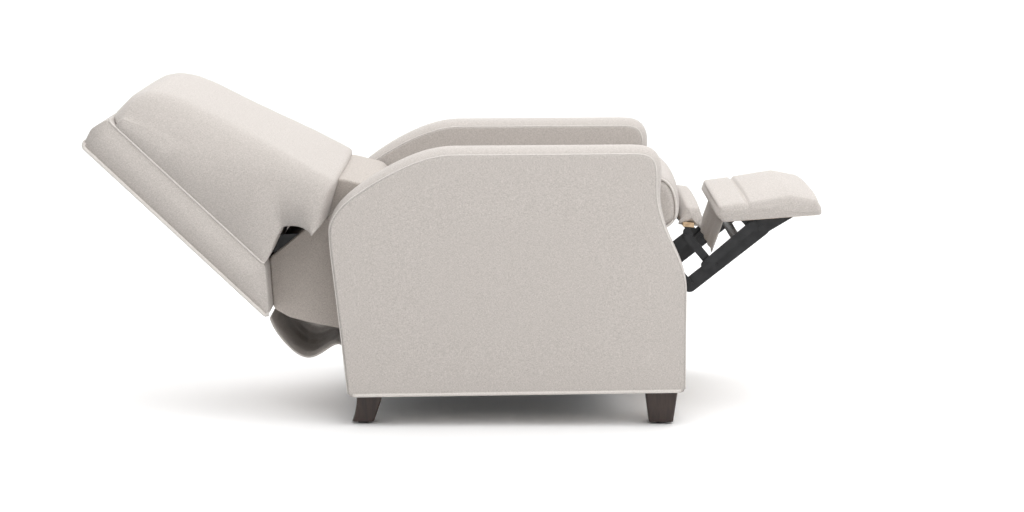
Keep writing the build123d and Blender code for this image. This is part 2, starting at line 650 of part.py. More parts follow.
def build_back_pads(bracket_inner):
    """The full-width front pad and the lower pad between the arms."""
    half = BACK_WIDTH / 2
    with BuildPart() as pad:
        with BuildSketch(side_plane(-half)):
            wing_outline()
        across(-half, half)
        with BuildSketch(side_plane(bracket_inner - 1)):
            bracket_outline()
        across(bracket_inner - 1, bracket_inner + BAR + 1, Mode.SUBTRACT)
        mirror(about=Plane.YZ, mode=Mode.INTERSECT)
    save(pad, "back_pad")
    with BuildPart() as lower_pad:
        with BuildSketch(side_plane(-LOWER_BACK_HALF)):
            polygon([on_back(0, PANEL_THICKNESS), (-396, 232), (-349, 220), (-268, 204),
                     (-246, 300), (-242, 440), (-180, 452), (-166, 500), (-200, 540),
                     (-282, 560),
                     (-304, 484), on_back(88, BOXING_DEPTH)])
            wing = [on_back(88, BOXING_DEPTH), (-425, 408), (-411, 442), (-397, 463),
                    (-384, 471), (-350, 475), (-320, 468), (-306, 462), (-304, 484),
                    (-282, 560), (-400, 600)]
            with BuildLine() as outline:
                Polyline(*wing, close=True)
            make_face(outline.edges(), mode=Mode.SUBTRACT)
        across(-LOWER_BACK_HALF, LOWER_BACK_HALF)
        with BuildSketch(side_plane(bracket_inner - 1)):
            bracket_outline()
        across(bracket_inner - 1, bracket_inner + BAR + 1, Mode.SUBTRACT)
        mirror(about=Plane.YZ, mode=Mode.INTERSECT)
    save(lower_pad, "lower_back_pad")


# ---------------------------------------------------------------- footrest links
def build_links():
    """The five pairs of flat links, their cross tubes and rivets."""
    with BuildPart() as lower:
        link_pair(MIDDLE_LAYER, [(LOWER_PIVOT, UPPER_PIVOT), (UPPER_PIVOT, ELBOW_PIVOT)],
                  MIDDLE_BAR_WIDTH, [LOWER_PIVOT], [UPPER_PIVOT, ELBOW_PIVOT])
    save(lower, "lower_links")
    with BuildPart() as torque:
        cross_tube(along(LOWER_PIVOT, 40, -18), MIDDLE_LAYER)
    save(torque, "torque_tube")
    with BuildPart() as lower_rivets:
        pins([UPPER_PIVOT, ELBOW_PIVOT], INNER_LAYER, MIDDLE_LAYER + BAR)
    save(lower_rivets, "lower_link_rivets")
    with BuildPart() as upper:
        link_pair(INNER_LAYER, [(UPPER_PIVOT, MID_PIVOT)], BAR_WIDTH, [UPPER_PIVOT], [MID_PIVOT])
    save(upper, "upper_links")
    with BuildPart() as upper_rivets:
        pins([MID_PIVOT], INNER_LAYER, MIDDLE_LAYER + BAR)
    save(upper_rivets, "upper_link_rivets")
    with BuildPart() as front:
        link_pair(INNER_LAYER, [(ELBOW_PIVOT, FOOT_PIVOT)], FRONT_BAR_WIDTH,
                  [ELBOW_PIVOT], [CROSS_PIVOT, FOOT_PIVOT])
    save(front, "front_links")
    with BuildPart() as stabiliser:
        cross_tube(along(ELBOW_PIVOT, 150, FRONT_BAR_ANGLE), INNER_LAYER)
    save(stabiliser, "stabiliser_tube")
    with BuildPart() as front_rivets:
        pins([CROSS_PIVOT, FOOT_PIVOT], INNER_LAYER, MIDDLE_LAYER + BAR)
    save(front_rivets, "front_link_rivets")
    with BuildPart() as control:
        link_pair(OUTER_LAYER, [(CONTROL_REAR_PIVOT, CONTROL_FRONT_PIVOT)],
                  CONTROL_BAR_WIDTH, [CONTROL_REAR_PIVOT], [CONTROL_FRONT_PIVOT])
    save(control, "control_links")
    with BuildPart() as control_rivets:
        pins([CONTROL_FRONT_PIVOT], MIDDLE_LAYER, OUTER_LAYER + BAR)
    save(control_rivets, "control_link_rivets")


def build_mid_footrest():
    """Mid links with the small footrest that stands on them."""
    board_low = (MID_PIVOT[0] - 12, MID_PIVOT[1] + 24)
    board_high = (MID_PIVOT[0] + 14, MID_PIVOT[1] + 22)
    with BuildPart() as links:
        link_pair(MIDDLE_LAYER, [(along(MID_PIVOT, 12, 100), MID_PIVOT), (MID_PIVOT, CROSS_PIVOT),
                                 (CROSS_PIVOT, CONTROL_REAR_PIVOT)],
                  MIDDLE_BAR_WIDTH, [MID_PIVOT, CROSS_PIVOT], [CONTROL_REAR_PIVOT])
    save(links, "mid_links")
    with BuildPart() as board:
        with BuildSketch(side_plane(-MIDDLE_LAYER)):
            polygon([board_low, board_high, (board_high[0], board_high[1] + 10),
                     (board_low[0], board_low[1] + 10)])
        across(-MIDDLE_LAYER, MIDDLE_LAYER)
    save(board, "mid_footrest_board")
    with BuildPart() as pad:
        with BuildSketch(side_plane(-MID_FOOTREST_HALF)):
            soft_outline([(515, 443), (563, 440), (566, 460), (556, 484), (530, 487), (513, 462)], 5)
            polygon([board_low, board_high, (board_high[0], board_high[1] + 10),
                     (board_low[0], board_low[1] + 10)])
        across(-MID_FOOTREST_HALF, MID_FOOTREST_HALF)
        add(board.part, mode=Mode.SUBTRACT)
    save(pad, "mid_footrest_pad")
    with BuildPart() as rivets:
        pins([CONTROL_REAR_PIVOT], MIDDLE_LAYER, OUTER_LAYER + BAR)
    save(rivets, "mid_link_rivets")


def build_footrest():
    """Main footrest: board, pad, brackets, hanging apron and screws."""
    rear = (611.0, 456.0)
    tilt = 4.2
    front = along(rear, 229, tilt)
    up = 90 + tilt
    with BuildPart() as board:
        with BuildSketch(side_plane(10 - FOOTREST_HALF)):
            start, end = along(rear, 8, tilt), along(rear, 218, tilt)
            polygon([start, end, along(end, FOOTREST_BOARD, up), along(start, FOOTREST_BOARD, up)])
        across(10 - FOOTREST_HALF, FOOTREST_HALF - 10)
    save(board, "footrest_board")
    with BuildPart() as pad:
        with BuildSketch(side_plane(-FOOTREST_HALF)):
            soft_outline([rear, front, along(front, 15, up), along(along(front, -9, tilt), 35, up),
                          along(along(rear, 160, tilt), 50, up), along(along(rear, 60, tilt), 42, up),
                          along(along(rear, -6, tilt), 38, up), along(along(rear, -16, tilt), 16, up)],
                         5)
        across(-FOOTREST_HALF, FOOTREST_HALF)
        add(board.part, mode=Mode.SUBTRACT)
    save(pad, "footrest_pad")
    foot = FOOT_PIVOT
    flange_rear = along(rear, 40, tilt)
    flange_front = along(rear, 170, tilt)
    with BuildPart() as brackets:
        with BuildSketch(side_plane(MIDDLE_LAYER)):
            polygon([(foot[0] - 4, foot[1] - 13), (foot[0] + 12, foot[1] - 8), flange_front,
                     flange_rear, (foot[0] - 35, foot[1] + 2)])
            discs([FOOT_PIVOT], PIN_RADIUS + PIN_CLEARANCE, Mode.SUBTRACT)
            discs([CONTROL_FRONT_PIVOT], PIN_RADIUS + OPEN_PIVOT_CLEARANCE, Mode.SUBTRACT)
        across(MIDDLE_LAYER, MIDDLE_LAYER + BAR)
        mirror(about=Plane.YZ)
    save(brackets, "footrest_brackets")
    with BuildPart() as apron:
        top = along(along(rear, 4, tilt), 1, up - 180)
        with BuildSketch(side_plane(-INNER_LAYER + 6)):
            polygon([top, (top[0] - 3, top[1]), (top[0] - 28, top[1] - 74),
                     (top[0] - 25, top[1] - 75)])
        across(-INNER_LAYER + 6, INNER_LAYER - 6)
    save(apron, "footrest_apron")


def main():
    os.makedirs("parts", exist_ok=True)
    build_arms()
    build_base_rails()
    build_legs()
    build_base_plates()
    build_rear_flap()
    build_seat_frame()
    build_seat_springs()
    build_seat_cushion()
    bracket_inner, brackets = build_back_frame()
    build_back_pads(bracket_inner)
    build_links()
    build_mid_footrest()
    build_footrest()


main()
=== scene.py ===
"""Looks of the recliner armchair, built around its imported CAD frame.

The chair faces -Y and X is its width.  Soft pieces are shells swept across X from side
outlines that are read from the CAD nodes, so they always sit where the frame says.
"""
import json
import math

import bmesh
import bpy
import numpy as np
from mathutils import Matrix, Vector


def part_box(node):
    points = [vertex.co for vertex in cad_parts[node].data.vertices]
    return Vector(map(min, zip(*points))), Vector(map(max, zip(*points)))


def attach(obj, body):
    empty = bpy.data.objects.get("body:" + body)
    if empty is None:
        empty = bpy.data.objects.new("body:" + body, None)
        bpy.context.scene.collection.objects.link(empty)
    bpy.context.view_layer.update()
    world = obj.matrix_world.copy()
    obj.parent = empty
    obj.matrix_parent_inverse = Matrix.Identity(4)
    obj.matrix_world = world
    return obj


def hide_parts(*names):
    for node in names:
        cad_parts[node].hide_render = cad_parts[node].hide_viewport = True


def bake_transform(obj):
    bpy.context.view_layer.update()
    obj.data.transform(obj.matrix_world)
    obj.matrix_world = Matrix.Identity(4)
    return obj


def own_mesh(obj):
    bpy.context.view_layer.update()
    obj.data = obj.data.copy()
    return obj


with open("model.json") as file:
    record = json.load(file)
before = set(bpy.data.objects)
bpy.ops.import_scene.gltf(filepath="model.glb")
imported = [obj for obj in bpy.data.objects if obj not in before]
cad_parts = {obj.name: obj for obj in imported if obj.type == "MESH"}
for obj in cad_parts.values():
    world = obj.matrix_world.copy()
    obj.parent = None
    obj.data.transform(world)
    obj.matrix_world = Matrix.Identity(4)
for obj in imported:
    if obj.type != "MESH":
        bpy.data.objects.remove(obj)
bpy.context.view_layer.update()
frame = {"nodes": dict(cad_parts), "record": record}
NODES = frame["nodes"]
MM = 0.001


# ---------------------------------------------------------------- outlines from the frame
def side_loop(node, side, count):
    """The outline of a node's end face towards side (-1 or 1), as count even (y, z) points."""
    mesh = NODES[node].data
    places = [tuple(round(c, 5) for c in v.co) for v in mesh.vertices]
    extreme = max(side * p[0] for p in places)
    uses = {}
    for face in mesh.polygons:
        ring = [places[i] for i in face.vertices]
        if all(side * p[0] > extreme - 1e-4 for p in ring):
            for a, b in zip(ring, ring[1:] + ring[:1]):
                key = (min(a, b), max(a, b))
                uses[key] = uses.get(key, 0) + 1
    links = {}
    for (a, b), times in uses.items():
        if times == 1 and a != b:
            links.setdefault(a, []).append(b)
            links.setdefault(b, []).append(a)
    loops = []
    left = set(links)
    while left:
        start = min(left)
        chain = [start]
        left.discard(start)
        while True:
            ahead = [p for p in links[chain[-1]] if p in left]
            if not ahead:
                break
            chain.append(ahead[0])
            left.discard(ahead[0])
        loops.append(np.array([p[1:] for p in chain]))
    return even_loop(max(loops, key=loop_length), count)


def loop_length(points):
    return float(np.linalg.norm(np.roll(points, -1, 0) - points, axis=1).sum())


def even_loop(points, count):
    """count points evenly along a closed loop, running front, top, rear, bottom."""
    ahead = np.roll(points, -1, 0)
    area = np.sum(points[:, 0] * ahead[:, 1] - ahead[:, 0] * points[:, 1])
    if area > 0:
        points = points[::-1]
    points = np.roll(points, -int(np.argmin(points[:, 0] + points[:, 1])), 0)
    closed = np.vstack([points, points[:1]])
    along = np.concatenate([[0], np.cumsum(np.linalg.norm(np.diff(closed, axis=0), axis=1))])
    wanted = np.linspace(0, along[-1], count, endpoint=False)
    return np.stack([np.interp(wanted, along, closed[:, i]) for i in range(2)], 1)


def smoothed(points, passes):
    """The loop with its corners relaxed."""
    for _ in range(passes):
        points = points * 0.5 + (np.roll(points, 1, 0) + np.roll(points, -1, 0)) * 0.25
    return points


def outward(points):
    """Unit normals of a loop, pointing out of it."""
    ahead = np.roll(points, -1, 0) - np.roll(points, 1, 0)
    ahead /= np.maximum(np.linalg.norm(ahead, axis=1, keepdims=True), 1e-9)
    normals = np.stack([-ahead[:, 1], ahead[:, 0]], 1)
    if np.sum((points - points.mean(0)) * normals) < 0:
        normals = -normals
    return normals


def ramp(value, low, high):
    """0 below low, 1 above high and smooth between."""
    t = np.clip((value - low) / (high - low), 0, 1)
    return t * t * (3 - 2 * t)


# ---------------------------------------------------------------- meshes
def mesh_object(name, verts, faces, material):
    mesh = bpy.data.meshes.new(name)
    mesh.from_pydata([tuple(map(float, v)) for v in verts], [], faces)
    mesh.validate()
    obj = bpy.data.objects.new(name, mesh)
    bpy.context.scene.collection.objects.link(obj)
    mesh.materials.append(material)
    for face in mesh.polygons:
        face.use_smooth = True
    return obj


def ring_mesh(name, rings, material, caps="point"):
    """Quads between equal closed rings of (x, y, z).

    caps is how both ends close: "point" to their middle, "flat" with one face, or None, open.
    """
    count = len(rings[0])
    verts = [p for ring in rings for p in ring]
    faces = []
    for level in range(len(rings) - 1):
        for i in range(count):
            j = (i + 1) % count
            a, b = level * count, (level + 1) * count
            faces.append((a + i, a + j, b + j, b + i))
    if caps == "flat":
        last = (len(rings) - 1) * count
        faces += [tuple(range(count)), tuple(range(last, last + count))]
    elif caps == "point":
        for level, flip in ((0, True), (len(rings) - 1, False)):
            centre = len(verts)
            verts.append(np.mean(rings[level], axis=0))
            for i in range(count):
                a, b = level * count + i, level * count + (i + 1) % count
                faces.append((b, a, centre) if flip else (a, b, centre))
    obj = mesh_object(name, verts, faces, material)
    fix_normals(obj)
    return obj


def fix_normals(obj):
    """Turn every face of a closed mesh outwards."""
    work = bmesh.new()
    work.from_mesh(obj.data)
    bmesh.ops.remove_doubles(work, verts=work.verts, dist=1e-6)
    bmesh.ops.triangulate(work, faces=[f for f in work.faces if len(f.verts) > 4])
    bmesh.ops.recalc_face_normals(work, faces=work.faces)
    work.to_mesh(obj.data)
    work.free()


CAP_SHRINK = (0.985, 0.95, 0.88, 0.76, 0.6, 0.42, 0.22, 0.08)


def shell(name, loop, stations, material, crown=None, puff=0.0, flat_ends=False):
    """A closed shell from loop, swept over stations of (x, inset).

    Its end panels are flat, or else domed outwards by puff.
    """
    normals = outward(loop)
    rings = []
    for x, inset in stations:
        ring = loop - normals * inset
        if crown is not None:
            ring = ring + normals * crown(x, ring)[:, None]
        rings.append(np.column_stack([np.full(len(ring), x), ring]))
    if flat_ends:
        return ring_mesh(name, rings, material, "flat")
    for place, direction in ((0, -1), (-1, 1)):
        edge = rings[place]
        centre = edge.mean(0)
        inner = []
        for k in CAP_SHRINK:
            ring = centre + (edge - centre) * k
            ring[:, 0] = edge[:, 0] + direction * puff * (1 - k ** 4)
            inner.append(ring)
        rings = inner[::-1] + rings if direction < 0 else rings + inner
    return ring_mesh(name, rings, material)


def rounded_stations(low, high, radius, flat_steps=14, arc_steps=6):
    """Stations from low to high whose ends round off with radius."""
    angles = [math.pi / 2 * i / arc_steps for i in range(arc_steps + 1)]
    start = [(low + radius - radius * math.cos(a), radius * (1 - math.sin(a))) for a in angles]
    middle = [(low + radius + (high - low - 2 * radius) * i / flat_steps, 0.0)
              for i in range(1, flat_steps)]
    finish = [(high - (x - low), inset) for x, inset in reversed(start)]
    return start + middle + finish


def tube(name, path, radius, material, closed=False, around=8):
    """A round cord of mesh along path, a list of (x, y, z)."""
    path = np.array(path, float)
    count = len(path)
    ahead = np.roll(path, -1, 0) - np.roll(path, 1, 0)
    if not closed:
        ahead[0], ahead[-1] = path[1] - path[0], path[-1] - path[-2]
    ahead /= np.maximum(np.linalg.norm(ahead, axis=1, keepdims=True), 1e-9)
    rings = []
    side = np.array([1.0, 0.0, 0.0]) if abs(ahead[0][0]) < 0.7 else np.array([0.0, 0.0, 1.0])
    for i in range(count):
        side = side - ahead[i] * np.dot(side, ahead[i])
        side /= np.linalg.norm(side)
        up = np.cross(ahead[i], side)
        rings.append([path[i] + radius * (math.cos(t) * side + math.sin(t) * up)
                      for t in np.linspace(0, 2 * math.pi, around, endpoint=False)])
    if closed:
        rings.append(rings[0])
    return ring_mesh(name, rings, material, None if closed else "point")


def finish_soft(obj, body, nodes):
    """Hide the CAD nodes a padded piece replaces and tie the piece to its body."""
    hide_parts(*nodes)
    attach(obj, body)
    return obj


def trim(obj, body):
    """Tie a seam, welt or other trim to its body."""
    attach(obj, body)
    return obj


# ---------------------------------------------------------------- materials
def new_material(name):
    material = bpy.data.materials.new(name)
    material.use_nodes = True
    tree = material.node_tree
    return material, tree, tree.nodes["Principled BSDF"]


def node(tree, kind, **values):
    made = tree.nodes.new(kind)
    for key, value in values.items():
        if hasattr(made, key):
            setattr(made, key, value)
        else:
            made.inputs[key.replace("_", " ")].default_value = value
    return made


def stretched(tree, scale):
    """Object coordinates stretched by scale."""
    place = node(tree, "ShaderNodeTexCoord")
    mapping = node(tree, "ShaderNodeMapping")
    mapping.inputs["Scale"].default_value = scale
    tree.links.new(place.outputs["Object"], mapping.inputs["Vector"])
    return mapping.outputs["Vector"]


def noise(tree, scale, size, detail=3.0, roughness=0.6):
    made = node(tree, "ShaderNodeTexNoise")
    made.inputs["Scale"].default_value = size
    made.inputs["Detail"].default_value = detail
    made.inputs["Roughness"].default_value = roughness
    tree.links.new(stretched(tree, scale), made.inputs["Vector"])
    return made.outputs["Fac"]


def math_node(tree, operation, a, b):
    made = node(tree, "ShaderNodeMath", operation=operation)
    for socket, value in zip(made.inputs, (a, b)):
        if isinstance(value, (int, float)):
            socket.default_value = value
        else:
            tree.links.new(value, socket)
    return made.outputs[0]


def colour_ramp(tree, factor, stops):
    made = node(tree, "ShaderNodeValToRGB")
    while len(made.color_ramp.elements) < len(stops):
        made.color_ramp.elements.new(0.5)
    for element, (place, colour) in zip(made.color_ramp.elements, stops):
        element.position = place
        element.color = (*colour, 1.0)
    tree.links.new(factor, made.inputs["Fac"])
    return made.outputs["Color"]


def bump(tree, shader, height, strength, distance):
    made = node(tree, "ShaderNodeBump")
    made.inputs["Strength"].default_value = strength
    made.inputs["Distance"].default_value = distance
    tree.links.new(height, made.inputs["Height"])
    tree.links.new(made.outputs["Normal"], shader.inputs["Normal"])


def fabric(name, light, dark, thread=260.0):
    """Heathered plain weave: crossed thread slubs and a fine thread relief."""
    material, tree, shader = new_material(name)
    flat = noise(tree, (1, 1, 4), thread, 1.0)
    upright = noise(tree, (4, 4, 1), thread, 1.0)
    factor = math_node(tree, "MULTIPLY", math_node(tree, "ADD", flat, upright), 0.5)
    middle = tuple((a + b) / 2 for a, b in zip(light, dark))
    colour = colour_ramp(tree, factor, [(0.34, dark), (0.5, middle), (0.66, light)])
    tree.links.new(colour, shader.inputs["Base Color"])
    shader.inputs["Roughness"].default_value = 0.92
    shader.inputs["Specular IOR Level"].default_value = 0.2
    shader.inputs["Sheen Weight"].default_value = 0.12
    shader.inputs["Sheen Roughness"].default_value = 0.5
    bump(tree, shader, flat, 0.5, 0.0008)
    return material


def steel(name, colour, roughness, metallic):
    """Coated or plated steel with slight orange peel and rubbed patches."""
    material, tree, shader = new_material(name)
    peel = noise(tree, (1, 1, 1), 900.0, 2.0)
    rub = noise(tree, (1, 1, 1), 38.0, 4.0)
    worn = tuple(min(1.0, c * 1.7 + 0.012) for c in colour)
    coat = colour_ramp(tree, rub, [(0.35, colour), (0.8, worn)])
    tree.links.new(coat, shader.inputs["Base Color"])
    rough = math_node(tree, "ADD", math_node(tree, "MULTIPLY", rub, 0.18), roughness - 0.09)
    tree.links.new(rough, shader.inputs["Roughness"])
    shader.inputs["Metallic"].default_value = metallic
    bump(tree, shader, peel, 0.25, 0.0003)
    return material


def wood(name, light, dark, roughness, grain_axis):
    """Stained or raw wood with grain along one axis."""
    material, tree, shader = new_material(name)
    scale = [9.0, 9.0, 9.0]
    scale[grain_axis] = 0.7
    grain = noise(tree, tuple(scale), 14.0, 6.0, 0.65)
    pores = noise(tree, tuple(s * 3 for s in scale), 30.0, 3.0)
    tone = math_node(tree, "ADD", math_node(tree, "MULTIPLY", grain, 0.8),
                     math_node(tree, "MULTIPLY", pores, 0.2))
    stain = colour_ramp(tree, tone, [(0.35, dark), (0.65, light)])
    tree.links.new(stain, shader.inputs["Base Color"])
    rough = math_node(tree, "ADD", math_node(tree, "MULTIPLY", pores, 0.2), roughness - 0.1)
    tree.links.new(rough, shader.inputs["Roughness"])
    bump(tree, shader, tone, 0.3, 0.0004)
    return material


LINEN = fabric("linen", (0.57, 0.53, 0.50), (0.375, 0.345, 0.32))
# Welts and seam cords are the same linen as the body; this lighter copy is a painted highlight on their
# ridges.
LINEN_LIT_WELT = fabric("linen_welt_painted_highlight", (0.70, 0.665, 0.63), (0.52, 0.485, 0.455), 340.0)
# A darker copy of the same linen: painted shade for the narrow lower back, which sits in shade between the
# arms.
LINEN_SHADE = fabric("linen_painted_shade", (0.52, 0.475, 0.435), (0.33, 0.295, 0.27))
LINING = fabric("black_lining", (0.035, 0.033, 0.032), (0.012, 0.012, 0.012))
WEBBING = fabric("webbing", (0.07, 0.062, 0.055), (0.02, 0.018, 0.016), 160.0)
ESPRESSO = wood("espresso_wood", (0.040, 0.021, 0.015), (0.014, 0.007, 0.005), 0.38, 2)
PLYWOOD = wood("plywood", (0.62, 0.45, 0.28), (0.42, 0.28, 0.16), 0.6, 0)
BLACK_STEEL = steel("black_steel", (0.010, 0.010, 0.011), 0.42, 0.25)
ZINC = steel("zinc", (0.42, 0.42, 0.41), 0.34, 0.95)
NYLON = steel("nylon", (0.03, 0.03, 0.03), 0.55, 0.0)
NODE_MATERIAL = {"leg_wood": ESPRESSO, "frame_wood": PLYWOOD, "black_steel": BLACK_STEEL,
                 "bright_steel": ZINC, "glide": NYLON, "lining": LINING, "webbing": WEBBING,
                 "fabric": LINEN}


def dress_frame():
    """Give every CAD node its procedural material."""
    slots = {s["node"]: s["material_slot"] for s in frame["record"]["subparts"]}
    for name, obj in NODES.items():
        material = NODE_MATERIAL[slots[name]]
        if name.endswith("_rivets"):
            material = BLACK_STEEL
        obj.data.materials.clear()
        obj.data.materials.append(material)


# ---------------------------------------------------------------- arms
SEAM = 3.4 * MM
ARM_CROWN = 15 * MM


def build_arm(side, name):
    """One arm: flat side panels and a crowned band over the front, top and rear."""
    low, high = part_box(f"arm_padding_{name}")
    inner, outer = (low.x, high.x) if side > 0 else (high.x, low.x)
    loop = smoothed(side_loop(f"arm_padding_{name}", side, 300), 2)
    middle = (inner + outer) / 2
    half = abs(outer - inner) / 2

    def crown(x, ring):
        across = max(0.0, 1 - (abs(x - middle) / (half - SEAM)) ** 2.4)
        lift = ramp(ring[:, 1], low.z + 0.02, low.z + 0.16)
        return ARM_CROWN * across * (0.35 + 0.65 * ramp(ring[:, 1], high.z - 0.2, high.z - 0.02)) * lift

    band = np.linspace(-1, 1, 15)
    stations = [(low.x, 0.0), (low.x + SEAM * 0.5, SEAM)]
    stations += [(middle + b * (half - SEAM), 0.0) for b in band]
    stations += [(high.x - SEAM * 0.5, SEAM), (high.x, 0.0)]
    arm = shell(f"arm_cover_{name}", loop, stations, LINEN, crown, puff=0.004)
    finish_soft(arm, "base", [f"arm_padding_{name}"])
    over = loop[loop[:, 1] > ramp_line(loop) + 0.004]
    for edge, tag in ((low.x, "a"), (high.x, "b")):
        seam_x = edge + (0.0022 if tag == "a" else -0.0022)
        path = [(seam_x, y, z) for y, z in over[order_open(over)]]
        trim(tube(f"arm_seam_{name}_{tag}", path, 0.0021, LINEN_LIT_WELT), "base")
    base = loop[loop[:, 1] < ramp_line(loop) + 0.002]
    base = base[np.argsort(base[:, 0])]
    for edge, tag in ((low.x, "a"), (high.x, "b")):
        path = [(edge, y, z + 0.004) for y, z in base]
        trim(tube(f"arm_welt_{name}_{tag}", path, 0.0042, LINEN_LIT_WELT), "base")


def order_open(points):
    """Order of an open run of loop points, starting after its widest gap."""
    gaps = np.linalg.norm(np.roll(points, -1, 0) - points, axis=1)
    start = int(np.argmax(gaps)) + 1
    return np.arange(start, start + len(points)) % len(points)


def ramp_line(loop):
    """Height of the sloping bottom edge at each point of an arm's loop."""
    front = loop[np.argmin(loop[:, 0] + loop[:, 1] * 0.2)]
    rear = loop[np.argmin(loop[:, 1])]
    front_low = loop[loop[:, 0] < front[0] + 0.01][:, 1].min()
    slope = (front_low - rear[1]) / (loop[:, 0].min() - rear[0])
    return rear[1] + slope * (loop[:, 0] - rear[0])


# ---------------------------------------------------------------- back


def back_axes():
    """Origin at the lower rear edge, and unit (y, z) directions up the back and into it."""
    panel = side_loop("back_panel", 1, 400)
    low = panel[np.argmin(panel[:, 1] - panel[:, 0] * 0.02)]
    top = panel[np.argmax(panel[:, 0])]
    up = (top - low) / np.linalg.norm(top - low)
    inward = np.array([-up[1], up[0]])
    return low, up, inward


BACK_LOW, BACK_UP, BACK_IN = back_axes()


def depth_of(points):
    """Distance of (y, z) points in front of the back's rear face."""
    return (points - BACK_LOW) @ BACK_IN


def rise_of(points):
    """Distance of (y, z) points up the back from its lower end."""
    return (points - BACK_LOW) @ BACK_UP


HEM_INSET = 0.007           # lower edge of the back cushion, away from the arms
SAME_RISE = 0.012           # points this close up the back share one face depth
EDGE_ROUND_LOW = 0.045      # rounding of its front edges, at its lower end
EDGE_ROUND_MORE = 0.065     # and what it gains further up
EDGE_ROUND_LIMIT = 0.6      # of the depth there
FACE_SWELL = 0.014
TOP_ROUND = 0.14
EDGE_STEPS = 9


def build_back_cushion():
    """Front pad of the back: flat sides, deeply rounded front edges and a crowned face."""
    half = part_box("back_pad")[1].x
    loop = smoothed(side_loop("back_pad", 1, 320), 4)
    seam_depth = depth_of(side_loop("back_boxing", 1, 400)).max()
    depth = depth_of(loop) - seam_depth
    rise = rise_of(loop)
    normals = outward(loop)
    aside = ramp(-(normals @ BACK_IN), -0.1, 0.3)
    hem = HEM_INSET * ramp(-rise, -0.36, -0.24) * ramp(depth, 0.006, 0.03) * aside
    loop = smoothed(loop - normals * hem[:, None], 3)
    near = np.abs(rise[:, None] - rise[None, :]) < SAME_RISE
    face_depth = np.where(near, depth[None, :], 0).max(axis=1)
    round_off = EDGE_ROUND_LOW + EDGE_ROUND_MORE * ramp(rise, 0.12, 0.4)
    share = np.clip(depth / np.maximum(face_depth, 0.001), 0, 1)
    top = ramp(rise, rise.max() - TOP_ROUND, rise.max())
    steps = [i / EDGE_STEPS for i in range(EDGE_STEPS + 1)]
    inside = [half - (EDGE_ROUND_LOW + EDGE_ROUND_MORE) * (1 - math.cos(s * math.pi / 2)) for s in steps[::-1]]
    places = sorted([-x for x in inside[::-1]] + list(np.linspace(-inside[0], inside[0], 16)[1:-1])
                    + inside)
    rings = []
    for x in places:
        reach = np.clip((abs(x) - (half - round_off)) / round_off, 0, 1)
        drop = round_off * (1 - np.sqrt(np.maximum(0, 1 - reach ** 2)))
        drop = np.minimum(drop, EDGE_ROUND_LIMIT * face_depth)
        swell = FACE_SWELL * (1 - (x / half) ** 2)
        ring = loop + np.outer((swell - drop) * share, BACK_IN)
        ring = ring - np.outer(drop * 0.5 * top, BACK_UP)
        rings.append(np.column_stack([np.full(len(ring), x), ring]))
    cushion = ring_mesh("back_cushion", rings, LINEN, "flat")
    finish_soft(cushion, "back", ["back_pad"])
    seam = loop[(depth < 0.004) & (rise > 0.09)]
    seam = seam[np.argsort(rise_of(seam))]
    for side in (-1, 1):
        path = [(side * (half - 0.001), y, z) for y, z in seam]
        trim(tube(f"back_seam_{'right' if side < 0 else 'left'}", path, 0.0022, LINEN_LIT_WELT), "back")


def build_back_shell():
    """Rear of the back: boxing band and rear panel with a welt round their edge."""
    low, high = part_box("back_boxing")
    loop = side_loop("back_boxing", 1, 300)
    thin = depth_of(loop) < 0.006
    loop = loop - np.outer(np.where(thin, depth_of(loop), 0), BACK_IN)
    loop = smoothed(loop, 3)
    stations = [(low.x, 0.0), (low.x + 0.002, 0.0)]
    stations += [(x, 0.0) for x in np.linspace(low.x + 0.02, high.x - 0.02, 12)]
    stations += [(high.x - 0.002, 0.0), (high.x, 0.0)]
    back = shell("back_cover", loop, stations, LINEN, flat_ends=True)
    finish_soft(back, "back", ["back_boxing", "back_panel"])
    rise = rise_of(loop)
    rear = loop[(depth_of(loop) < 0.012) & (rise > 0.004)]
    rear = rear[np.argsort(rise_of(rear))]
    for side in (-1, 1):
        path = [(side * (high.x - 0.001), y, z) for y, z in rear]
        trim(tube(f"back_welt_{'right' if side < 0 else 'left'}", path, 0.0045, LINEN_LIT_WELT), "back")
    top = rear[-1]
    across = [(x, top[0], top[1]) for x in np.linspace(low.x + 0.001, high.x - 0.001, 40)]
    trim(tube("back_welt_top", across, 0.0045, LINEN_LIT_WELT), "back")


def build_lower_back():
    """The narrow part of the back, which runs down between the arms."""
    low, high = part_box("lower_back_pad")
    loop = smoothed(side_loop("lower_back_pad", 1, 280), 5)

    def crown(x, ring):
        return 0.010 * (1 - (x / high.x) ** 2) * ramp(-ring[:, 0], -0.30, -0.24)

    stations = rounded_stations(low.x, high.x, 0.006)
    # The pad takes the darker linen copy, which is painted shade.
    pad = shell("lower_back", loop, stations, LINEN_SHADE, crown, flat_ends=True)
    finish_soft(pad, "back", ["lower_back_pad"])


def build_sling():
    """Cloth that hangs from the foot of the back to the rear rail."""
    low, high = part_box("rear_flap")
    loop = side_loop("rear_flap", 1, 260)
    rings = []
    for x in np.linspace(low.x, high.x, 41):
        share = x / high.x
        ring = loop.copy()
        off_rail = ramp(ring[:, 1], low.z + 0.01, low.z + 0.05)
        sag = off_rail * ramp(-ring[:, 1], -high.z + 0.02, -high.z + 0.09)
        ring[:, 1] -= sag * (0.006 * (1 - share ** 2) + 0.0022 * math.sin(19 * share + 0.6))
        ring[:, 0] += sag * 0.002 * math.sin(13 * share)
        rings.append(np.column_stack([np.full(len(ring), x), ring]))
    sling = ring_mesh("rear_sling", rings, LINEN, "flat")
    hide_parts("rear_flap")
    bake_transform(sling)


